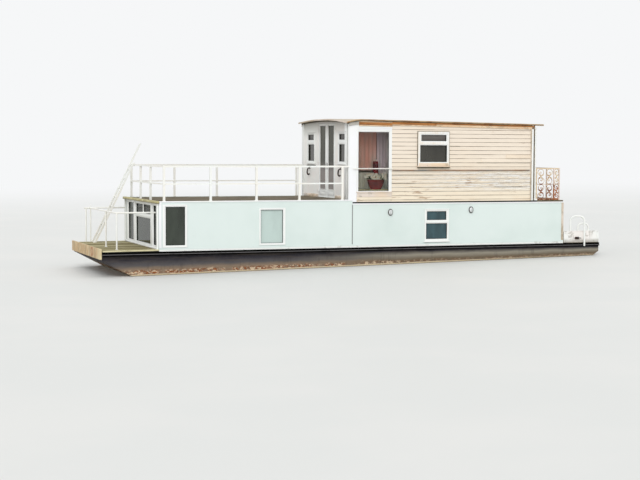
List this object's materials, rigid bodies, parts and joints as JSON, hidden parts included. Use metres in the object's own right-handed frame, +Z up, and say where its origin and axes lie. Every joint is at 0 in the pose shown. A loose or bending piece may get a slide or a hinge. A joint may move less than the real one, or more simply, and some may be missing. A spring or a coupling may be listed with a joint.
{
  "type": "houseboat",
  "caption": "Flat-bottomed steel houseboat with a sunken lower cabin, a clapboard upper cabin with hinged doors, a railed roof deck, a foredeck and a low stern deck.",
  "frame": {"origin": "under the middle of the hull, on its flat bottom", "axes": "+X towards the stern, +Z up, the side with the large windows faces -Y"},
  "size_m": [16.15, 4.364, 4.8767],
  "materials": {
    "hull_paint": "weathered matt",
    "black_paint": "satin",
    "cream_paint": "weathered",
    "deck_timber": "weathered",
    "white_paint": "satin",
    "mint_panel": "satin",
    "roof_felt": "matt",
    "cladding": "weathered paint",
    "bare_timber": "weathered",
    "frame_white": "satin",
    "glass": "polished",
    "rail_white": "satin",
    "rusty_iron": "rusted paint",
    "pipe_white": "satin"
  },
  "bodies": {
    "boat": {"hull": "hull_paint", "rubbing_strake": "black_paint", "bow_fascia": "cream_paint", "foredeck": "deck_timber", "stern_deck": "deck_timber", "stern_bulwark": "white_paint", "lower_wall_near_bow": "mint_panel", "lower_wall_near_stern": "mint_panel", "lower_wall_far": "mint_panel", "lower_wall_stern": "mint_panel", "bow_screen_frame": "frame_white", "bow_screen_glass": "glass", "bow_eave": "cream_paint", "roof_deck": "roof_felt", "upper_floor": "roof_felt", "upper_wall_near_panel": "white_paint", "upper_wall_near_siding": "cladding", "upper_wall_far": "cladding", "upper_wall_front": "white_paint", "upper_wall_back": "cladding", "upper_roof": "cream_paint", "roof_fascia": "bare_timber", "lower_window_bow_frame": "frame_white", "lower_window_bow_glass": "glass", "lower_window_middle_frame": "frame_white", "lower_window_middle_glass": "glass", "lower_window_stern_frame": "frame_white", "lower_window_stern_glass": "glass", "upper_window_large_frame": "frame_white", "upper_window_large_glass": "glass", "upper_window_side_frame": "frame_white", "upper_window_side_glass": "glass", "front_window_near_frame": "frame_white", "front_window_near_glass": "glass", "front_window_far_frame": "frame_white", "front_window_far_glass": "glass", "far_window_bow_glass": "glass", "far_window_stern_glass": "glass", "far_window_upper_glass": "glass", "roof_rail_near": "rail_white", "roof_rail_far": "rail_white", "roof_rail_bow": "rail_white", "foredeck_rail": "rail_white", "boarding_ladder": "rail_white", "balcony_rail": "rusty_iron", "stern_hoop_tall": "rail_white", "stern_hoop_low": "rail_white", "grab_rail": "rail_white", "window_safety_bar": "rail_white", "downpipe": "pipe_white", "bulkhead_light_bow": "frame_white", "bulkhead_light_stern": "frame_white"},
    "french_leaf_near": {"french_door_near": "frame_white", "french_glass_near": "glass"},
    "french_leaf_far": {"french_door_far": "frame_white", "french_glass_far": "glass"},
    "balcony_leaf": {"balcony_door": "frame_white", "balcony_door_glass": "glass"},
    "stern_leaf": {"stern_door": "white_paint"}
  },
  "joints": [
    {"name": "french_near_hinge", "type": "hinge", "parent": "boat", "child": "french_leaf_near", "pos_m": [-0.555, -0.905, 3.56], "axis": [0, 0, 1], "range_deg": [0, 100]},
    {"name": "french_far_hinge", "type": "hinge", "parent": "boat", "child": "french_leaf_far", "pos_m": [-0.555, 0.545, 3.56], "axis": [0, 0, -1], "range_deg": [0, 100]},
    {"name": "balcony_hinge", "type": "hinge", "parent": "boat", "child": "balcony_leaf", "pos_m": [5.66, -0.35, 3.4], "axis": [0, 0, -1], "range_deg": [0, 95]},
    {"name": "stern_hinge", "type": "hinge", "parent": "boat", "child": "stern_leaf", "pos_m": [6.77, -0.4, 1.65], "axis": [0, 0, -1], "range_deg": [0, 100]}
  ]
}
